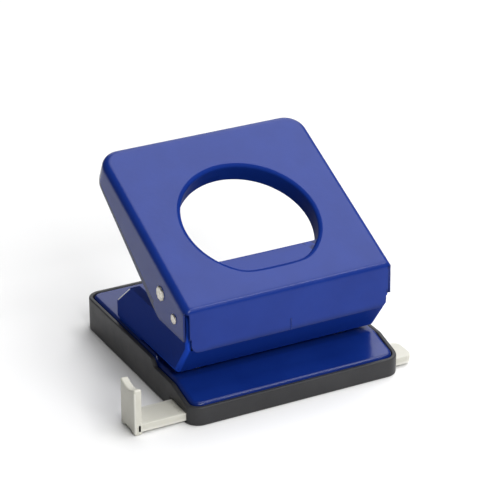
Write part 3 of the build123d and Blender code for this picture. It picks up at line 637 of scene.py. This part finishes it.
# ---- Chip tray -----------------------------------------------------------------------------------
def make_chip_tray():
    """Moulded tray as nested loops from the middle of its underside out, up, over the rim and in.

    Each loop is a rounded rectangle drawn in by its inset; the rim's height follows the stepped
    outline along y. The guide's windows are left out of the two side walls and lined.
    """
    mid = (tray_front + tray_rear) / 2
    fx = np.linspace(-1, 1, 40)
    stops = np.array([tray_corner, window_rear, 21.0, 24.0, 40.0, 40.5, 41.2, 42.0, 42.8, 43.5, 44.0, 116.0])
    run = np.unique(np.concatenate([stops, np.linspace(tray_corner, 116.0, 60), np.linspace(8, 22, 12)]))
    sv = (run - run[0]) / (run[-1] - run[0])
    tr = np.linspace(0, 1, 13)[1:-1]

    def corner_turns(inset):
        """Quarter-turn fractions with one of them at the windows' front edge."""
        cut = math.acos((tray_corner - window_front) / (tray_corner - inset)) / (math.pi / 2)
        return np.concatenate([np.linspace(0, cut, 9)[1:], np.linspace(cut, 1, 5)[1:-1]])

    def loop(inset, share):
        """Loop at an inset; share lists (height at the foot, part of the rim's height above it)."""
        x, y = outline(tray_half - inset, tray_front + inset, tray_rear - inset, tray_corner - inset,
                       tray_corner - inset, fx, corner_turns(inset), sv, tr)
        runs = y[0] - tray_front
        total = 0
        for shift in np.linspace(-0.5, 0.5, 7):
            total = total + np.interp(runs + shift, rim_runs, rim_heights)
        return x[0], y[0], share(total / 7)

    def at(height):
        return lambda rim: height + 0 * rim

    def below(low, part, drop):
        return lambda rim: low + (rim - drop - low) * part

    lip = 0.6
    levels = []
    base_x, base_y, flat = loop(1.6, at(0.0))
    for part in (0.0, 0.3, 0.6, 0.85):
        levels.append((base_x * part, mid + (base_y - mid) * part, flat))
    levels += [loop(1.6, at(0.0))]
    for turn in np.linspace(0, math.pi / 2, 4):
        levels.append(loop(0.8 * (1 - math.sin(turn)), at(0.8 * (1 - math.cos(turn)))))
    levels += [loop(0.0, at(tray_floor))]
    window_row = len(levels) - 1
    levels += [loop(0.0, at(window_top))]
    levels += [loop(0.0, below(window_top, part, lip)) for part in (0.3, 0.6, 0.9)]
    for turn in np.linspace(0, math.pi / 2, 5):
        inset = lip * (1 - math.cos(turn))
        levels.append(loop(inset, below(0, 1, lip * (1 - math.sin(turn)))))
    for turn in np.linspace(0, math.pi / 2, 5):
        inset = tray_wall - lip + lip * math.sin(turn)
        levels.append(loop(inset, below(0, 1, lip * (1 - math.cos(turn)))))
    levels += [loop(tray_wall, below(window_top, part, lip)) for part in (0.6, 0.3)]
    levels += [loop(tray_wall, at(window_top)), loop(tray_wall, at(tray_floor))]
    inner_row = len(levels) - 2
    for part in (0.97, 0.8, 0.5, 0.25, 0.0):
        x, y, z = loop(tray_wall, at(tray_floor))
        levels.append((x * part, mid + (y - mid) * part, z))
    points = np.array([stack(*level) for level in levels])
    total = points.shape[1]
    first = len(fx) + 7
    last = len(fx) + len(corner_turns(0.0)) + int(np.argmin(np.abs(run - window_rear)))
    keep = np.ones((points.shape[0] - 1, total), dtype=bool)
    parts = []
    mirror = (total - 1 - last + len(fx), total - 1 - first + len(fx))
    for low, high in ((first, last), mirror):
        keep[window_row, low:high] = False
        keep[inner_row, low:high] = False
        frame_out = points[window_row:window_row + 2, low:high + 1]
        frame_in = points[inner_row:inner_row + 2, low:high + 1][::-1]
        parts.append(patch(np.array([frame_out[0], frame_in[0]])))
        parts.append(patch(np.array([frame_out[1], frame_in[1]]), flip=True))
        for column, turned_round in ((0, True), (-1, False)):
            parts.append(patch(np.array([frame_out[:, column], frame_in[:, column]]), flip=turned_round))
    parts.append(patch(points, closed=True, keep=keep))
    # Pads in the corners, under the base plate.
    for side in (-1, 1):
        for y in (tray_front + 29.0, tray_rear - 5.7):
            parts.append(pad(side * 50.6, y, 4.6, 3.4, tray_floor - 0.3, plate_skirt))
    piece("chip_tray_shell", parts, "tray", "black_plastic", ["chip_tray"])


def pad(x, y, half_x, half_y, low, high):
    """Low block with rounded corners and top edge, its loops drawn in by r (1 - cos t) at the top."""
    quarter = np.linspace(0, 1, 5)
    ends = np.array([-1.0, 1.0])
    rise = [(0, low), (0, high - 0.5)] + [
        (0.5 * (1 - math.cos(t)), high - 0.5 * (1 - math.sin(t))) for t in np.linspace(0.4, math.pi / 2, 4)]
    rings = []
    for inset, z in rise + [(half_y - 0.05, high)]:
        grown = max(0.02, 1.0 - inset)
        px, py = outline(half_x - inset, y - half_y + inset, y + half_y - inset, min(grown, half_y - inset),
                         min(grown, half_y - inset), ends, quarter[1:-1], np.array([0.0, 1.0]), quarter[1:-1])
        rings.append(stack(px[0] + x, py[0], z))
    return patch(np.array(rings), closed=True)


make_chip_tray()


# ---- Axle heads ------------------------------------------------------------------------------------
def make_axle(name, node, y, z, shaft, head_radius, head_height):
    """Axle turned about X: a plain shaft with a peened, slightly dished head at each end.

    The head's edge is scalloped by the peening tool, with a share scallop of the radius.
    """
    lobes, scallop = 9, 0.10
    half = handle_half
    rim = 0.35 * head_height
    head = [(half, shaft, 0), (half, head_radius - 0.15, scallop), (half + 0.12, head_radius, scallop)]
    for t in np.linspace(0, 1, 8):
        head.append((half + 0.15 + (head_height - rim) * math.sin(t * math.pi / 2),
                     head_radius - head_radius * 0.42 * (1 - math.cos(t * math.pi / 2)),
                     scallop * (1 - 0.6 * t)))
    head += [(half + head_height, head_radius * 0.40, 0), (half + head_height - 0.16, head_radius * 0.26, 0),
             (half + head_height - 0.24, head_radius * 0.12, 0), (half + head_height - 0.24, 0.0, 0)]
    profile = [(-a, r, d) for a, r, d in head[::-1]] + head
    piece(name, [turned(profile, (0, y, z), 8 * lobes, lobes)], "handle", "nickel", [node])


make_axle("hinge_axle_peened", "hinge_axle", hinge_y, hinge_z, 2.0, 2.7, 0.9)
drive_reach, drive_angle = 16.06, math.radians(27.4)    # from the hinge
drive_y = hinge_y + drive_reach * math.cos(drive_angle)
drive_z = hinge_z + drive_reach * math.sin(drive_angle)
make_axle("drive_axle_peened", "drive_axle", drive_y, drive_z, 2.0, 3.95, 1.2)


# ---- Paper guide -------------------------------------------------------------------------------------
def rounded_loop(corners, count, blur):
    """Closed polyline through the corners, spaced evenly, each point the mean of those within blur."""
    corners = np.array(corners, float)
    closed = np.concatenate([corners, corners[:1]])
    length = np.concatenate([[0], np.cumsum(np.linalg.norm(np.diff(closed, axis=0), axis=1))])
    reach = max(1, int(round(blur / length[-1] * count)))
    total = 0
    for shift in range(-reach, reach + 1):
        at = (np.arange(count) + shift) % count / count * length[-1]
        total = total + np.stack([np.interp(at, length, closed[:, k]) for k in (0, 1)], axis=-1)
    return total / (2 * reach + 1)


def make_paper_guide():
    """Sliding bar with a rounded end and notched rear edge, and the upright that the paper meets.

    The bar is a rounded oblong carried along X, narrowed at its end by r - sqrt(r^2 - d^2). The
    upright is a rounded loop in Y and Z, drawn in by r (1 - cos t) where its two faces begin.
    """
    box_low, box_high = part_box("paper_guide")
    left, front, low = [value / MM for value in box_low]
    right, rear, high = [value / MM for value in box_high]
    mid = (front + rear) / 2
    half = (rear - front) / 2
    thick = 4.0                        # of the upright
    bar_low, bar_high = 1.5, 5.8
    end_round, soft = 3.5, 0.5         # at the bar's end, and along its edges
    notch_places = (-43.5, -31.0, 0.0, 24.0)
    notch_depth, notch_half = 0.8, 1.0
    turns = np.linspace(0, math.pi / 2, 7)
    near = np.concatenate([place + np.linspace(-1.2, 1.2, 9) for place in notch_places])
    x = np.concatenate([np.linspace(left + thick / 2, right - end_round, 90), near])
    x = np.concatenate([np.unique(x), right - end_round + end_round * np.sin(turns[1:])])
    past_end = np.clip((x - right + end_round) / end_round, 0, 1)
    wide = half - end_round * (1 - np.sqrt(1 - past_end ** 2))
    quarter = np.linspace(0, 1, 4)[1:-1]
    fx, sv = np.linspace(-1, 1, 8), np.linspace(0, 1, 3)
    y, z = outline(wide, bar_low, bar_high, soft, soft, fx, quarter, sv, quarter)
    groove = sum(np.clip(1 - np.abs(x - place) / notch_half, 0, 1) for place in notch_places)[:, None]
    y = y - groove * notch_depth * ease(y, half - 1.6, half - 0.1)
    rows = stack(x[:, None], mid + y, z)
    tip = rows[-1].mean(axis=0)
    caps = [tip + (rows[-1] - tip) * share for share in (0.6, 0.2, 0.0)]
    start = rows[0].mean(axis=0)
    heads = [start + (rows[0] - start) * share for share in (0.0, 0.5)]
    bar = patch(np.concatenate([np.array(heads), rows, np.array(caps)]), closed=True)
    foot, arch, scoop = 3.4, 1.4, 1.9
    top = [(t * (half - 1.6), high - scoop * (1 - t * t)) for t in np.linspace(1, -1, 13)]
    corners = ([(-half, low), (-half + foot, low), (-half + foot + 0.9, low + arch),
                (half - foot - 0.9, low + arch), (half - foot, low), (half, low), (half, high)]
               + top + [(-half, high)])
    loop = rounded_loop(corners, 220, 0.9)
    centre = loop.mean(axis=0)
    ahead = np.roll(loop, -2, axis=0) - np.roll(loop, 2, axis=0)
    inward = np.stack([-ahead[:, 1], ahead[:, 0]], axis=-1)
    inward = inward / np.linalg.norm(inward, axis=1)[:, None]
    edge_round = 0.9
    rings = []
    for t in np.linspace(0, math.pi / 2, 6):
        rings.append((edge_round * (1 - math.sin(t)), edge_round * (1 - math.cos(t))))
    steps = rings + [(a, thick - b) for a, b in rings[::-1]]
    shrink = (0.0, 0.5, 0.85)          # loops that close the two faces towards their middle
    layers = []
    for inset, across, share in (
            [(edge_round, 0.0, part) for part in shrink] + [(a, b, 1.0) for a, b in steps]
            + [(edge_round, thick, part) for part in shrink[::-1]]):
        ring = centre + (loop + inward * inset - centre) * share
        layers.append(stack(left + across, mid + ring[:, 0], ring[:, 1]))
    upright = patch(np.array(layers), closed=True)
    tick_x, tick_half_x, tick_half_y, tick_rise = -60.7, 0.9, 0.3, 0.16
    ticks = [pad(tick_x, front + place, tick_half_x, tick_half_y, bar_high - 0.1, bar_high + tick_rise)
             for place in (3.0, 5.6, 8.2, 10.8)]
    piece("paper_guide_moulded", [bar, upright] + ticks, "guide", "grey_plastic", ["paper_guide"])


make_paper_guide()


# ---- Return springs ----------------------------------------------------------------------------------
def make_return_spring(side):
    """Coil of round wire between the upper bush and the pin's head, which shortens with the pin.

    The wire's centre lies at R cos(a), R sin(a) and rises with a, by a wire's thickness a turn
    over the closed turns at both ends and faster between them. A circle of the wire's radius is
    carried along it, square to it, and shrinks to a point at each end.
    """
    wire, turns, closed_turns, stroke = 1.1, 6.5, 0.7, 7.0
    node = f"return_spring_{side}"
    low, high = [np.array([value / MM for value in corner]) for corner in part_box(node)]
    centre_x, centre_y = (low[:2] + high[:2]) / 2
    radius = (high[0] - low[0] - wire) / 2
    bottom, top = low[2] + wire / 2, high[2] - wire / 2
    turn = np.linspace(0, turns, 235)
    opened = (ease(turn, closed_turns, closed_turns + 0.5)
              * ease(turns - turn, closed_turns, closed_turns + 0.5))
    step = turns / (len(turn) - 1)
    rate = wire * 1.04 + opened * (top - bottom - wire * 1.04 * turns) / (opened.sum() * step)
    rise = bottom + np.concatenate([[0], np.cumsum((rate[1:] + rate[:-1]) / 2 * step)])
    angle = 2 * math.pi * turn
    out = stack(np.cos(angle), np.sin(angle), 0 * angle)
    along = stack(-2 * math.pi * radius * np.sin(angle), 2 * math.pi * radius * np.cos(angle), rate)
    along = along / np.linalg.norm(along, axis=1)[:, None]
    across = np.cross(along, out)
    middle = out * radius + stack(centre_x, centre_y, rise)
    round_wire = np.linspace(0, 2 * math.pi, 12, endpoint=False)[None, :, None]
    rings = middle[:, None] + wire / 2 * (
        np.cos(round_wire) * out[:, None] + np.sin(round_wire) * across[:, None])
    rings = np.concatenate([middle[0] + 0 * rings[:1], rings, middle[-1] + 0 * rings[:1]])
    coil = piece(f"return_spring_coil_{side}", [patch(rings, closed=True)], "base", "spring_steel",
                 [node])
    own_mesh(coil)


for spring_side in ("left", "right"):
    make_return_spring(spring_side)


# ---- Bracket's cut edges ---------------------------------------------------------------------------------
def make_cut_edges():
    """Bead of bare steel along the sheared rear corner of each side plate, where the paint barely covers it.

    A circle of radius r is carried along the sloping cut, sunk so that about a third of its
    radius shows. It shrinks to nothing over the first and last tenth, as r sqrt(1 - d^2) with d
    from 0 to 1 there.
    """
    radius, sunk, face = 0.32, 0.20, edge("punch_bracket", 1, 0)
    low = np.array([tray_front + 89.0, 29.1])
    high = np.array([tray_front + 73.0, 42.8])
    share = np.concatenate([np.linspace(0, 0.1, 6), np.linspace(0.1, 0.9, 20)[1:-1],
                            np.linspace(0.9, 1, 6)])
    past_end = np.clip(np.abs(share - 0.5) - 0.4, 0, 0.1) / 0.1
    size = radius * np.sqrt(np.maximum(1 - past_end ** 2, 0))
    along = (high - low) / np.linalg.norm(high - low)
    out = np.array([along[1], -along[0]]) * np.sign(along[1])
    middle = low + (high - low) * share[:, None] - out * sunk
    turn = np.linspace(0, 2 * math.pi, 12, endpoint=False)[None, :]
    parts = []
    for side in (-1, 1):
        x = side * (face - sunk + size[:, None] * np.cos(turn))
        lift = size[:, None] * np.sin(turn)
        points = stack(x, middle[:, :1] + out[0] * lift, middle[:, 1:] + out[1] * lift)
        parts.append(patch(points, closed=True, flip=side < 0))
    piece("bracket_cut_edges", parts, "base", "bare_steel", [])


make_cut_edges()


# ---- Floor, light and camera ------------------------------------------------------------------
def make_floor():
    """Plain pale floor, a wide square under the tray."""
    size = 6000.0
    corner = np.linspace(-size, size, 3)
    points = stack(corner[None, :], corner[:, None], np.full((3, 3), -0.02))
    vertices, faces = patch(points)
    mesh = bpy.data.meshes.new("floor")
    mesh.from_pydata((vertices * MM).tolist(), [], faces.tolist())
    floor = bpy.data.objects.new("floor", mesh)
    bpy.context.scene.collection.objects.link(floor)
    material, nodes, links, shader, place = finish_nodes("floor_card", (0.86, 0.86, 0.86), 0.75)
    cloud = noise(nodes, links, place, 3, 2)
    links.new(ramp(nodes, links, cloud, (0.855, 0.855, 0.855), (0.875, 0.875, 0.875)),
              shader.inputs["Base Color"])
    mesh.materials.append(material)


def soft_light(name, place, target, width, height, power):
    """A large soft panel that faces the target."""
    data = bpy.data.lights.new(name, "AREA")
    data.shape = "RECTANGLE"
    data.size, data.size_y, data.energy = width, height, power
    lamp = bpy.data.objects.new(name, data)
    lamp.location = place
    lamp.rotation_mode = "QUATERNION"
    lamp.rotation_quaternion = (Vector(target) - Vector(place)).to_track_quat("-Z", "Y")
    bpy.context.scene.collection.objects.link(lamp)


make_floor()
world = bpy.data.worlds.new("studio")
world.use_nodes = True
world.node_tree.nodes["Background"].inputs["Color"].default_value = (1.0, 1.0, 1.0, 1)
world.node_tree.nodes["Background"].inputs["Strength"].default_value = 0.13
bpy.context.scene.world = world
soft_light("overhead", (0.66, 0.28, 1.42), (0, 0, 0.05), 1.45, 1.35, 22)
soft_light("bend", (0.59, -0.62, 1.12), (0, 0, 0.05), 0.5, 0.12, 3.5)
soft_light("front", (0.05, -1.20, 1.00), (0, 0, 0.05), 0.8, 0.6, 16)
soft_light("behind", (0.75, 1.40, 0.80), (0, 0, 0.05), 1.4, 0.9, 6)

camera_data = bpy.data.cameras.new("camera")
camera_data.lens = 167.6
camera_data.sensor_width = 36.0
camera_data.clip_start = 0.05
camera = bpy.data.objects.new("camera", camera_data)
bpy.context.scene.collection.objects.link(camera)
back = Vector((-0.4223, -0.7969, 0.4319)).normalized()
right = Vector((-back.y, back.x, 0)).normalized()
up = back.cross(right)
turned = Matrix((right, up, back)).transposed()
camera.matrix_world = Matrix.Translation((-0.4890, -0.9336, 0.5608)) @ turned.to_4x4()
bpy.context.scene.camera = camera
bpy.context.scene.view_settings.view_transform = "Standard"
